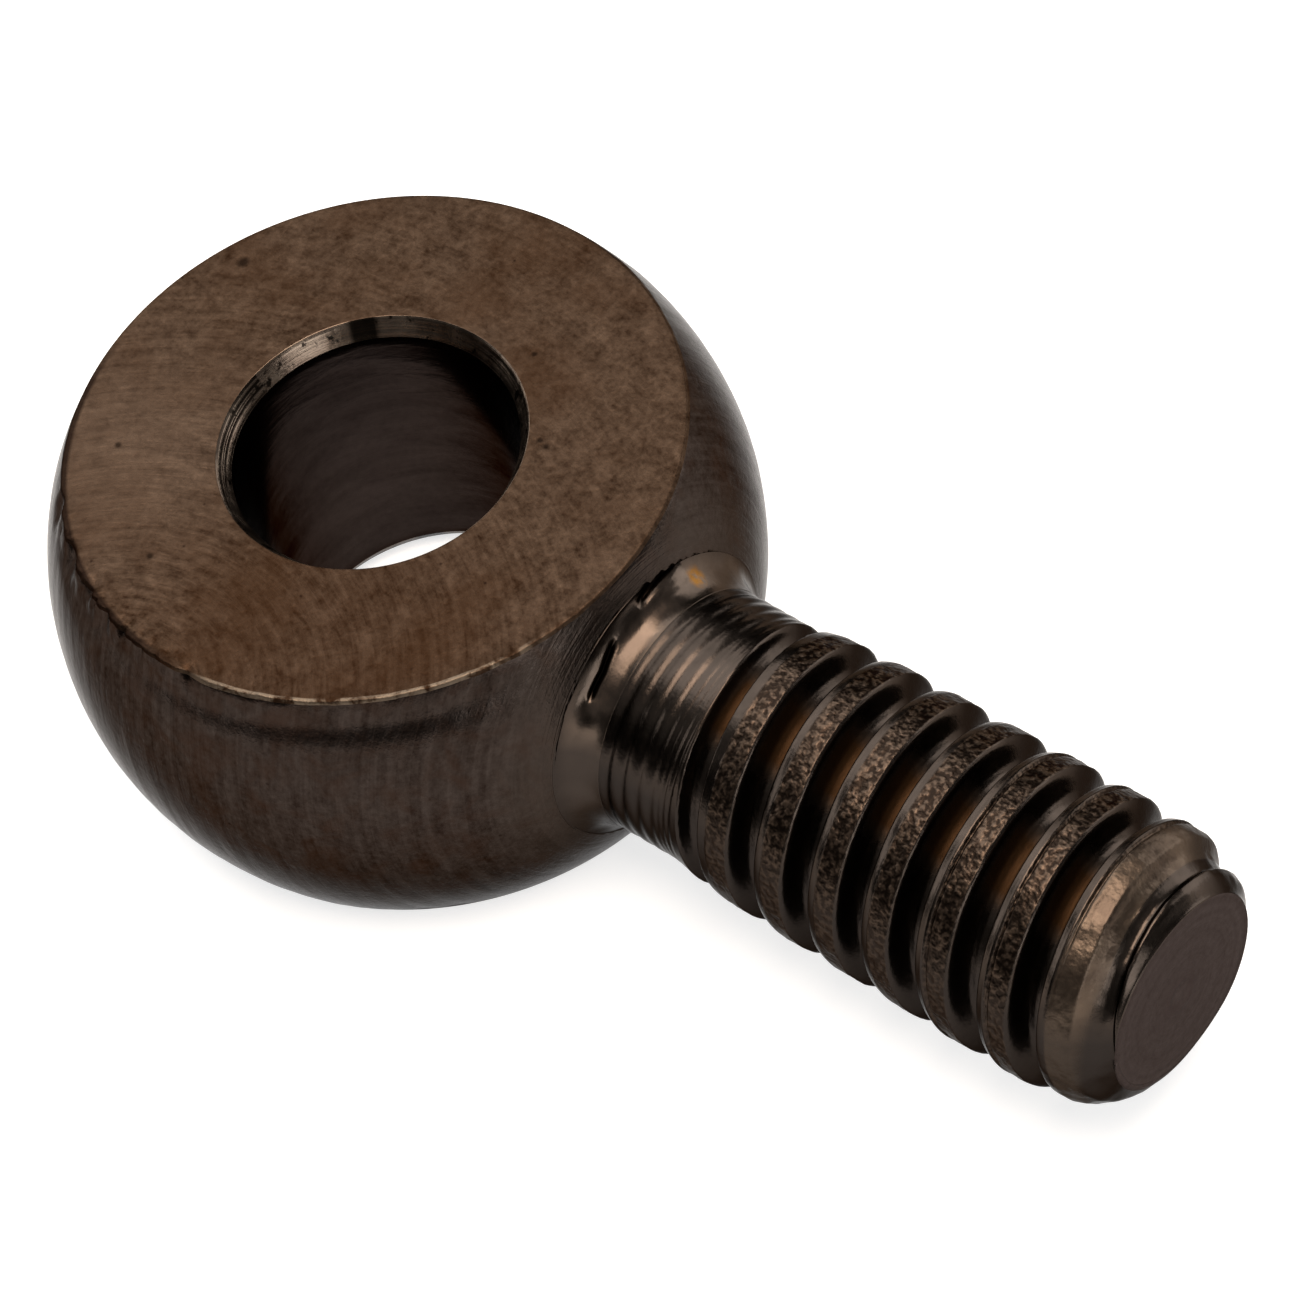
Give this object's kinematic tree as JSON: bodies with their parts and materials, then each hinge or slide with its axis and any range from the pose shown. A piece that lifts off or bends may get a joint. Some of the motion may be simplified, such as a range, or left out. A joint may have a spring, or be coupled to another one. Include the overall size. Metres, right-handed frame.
{
  "type": "threaded ball eye",
  "caption": "Small metal eye: a ball with two flats and a cross bore, on a short stud with a coarse right-hand thread.",
  "frame": {"origin": "centre of the ball, on the axis of the eye's bore, midway between the two flats", "axes": "+Z along the bore, +X along the stud towards its threaded end, +Y completes the right-handed set"},
  "size_m": [0.0219, 0.012, 0.006],
  "materials": {
    "ball_metal": "dark warm satin, turned and faced",
    "stud_metal": "dark bright rolled thread, rough crests",
    "filler_metal": "smooth, toned like the rest"
  },
  "bodies": {
    "root": {"eye_head": "ball_metal", "threaded_stud": "stud_metal", "braze_fillet": "filler_metal"}
  },
  "joints": []
}
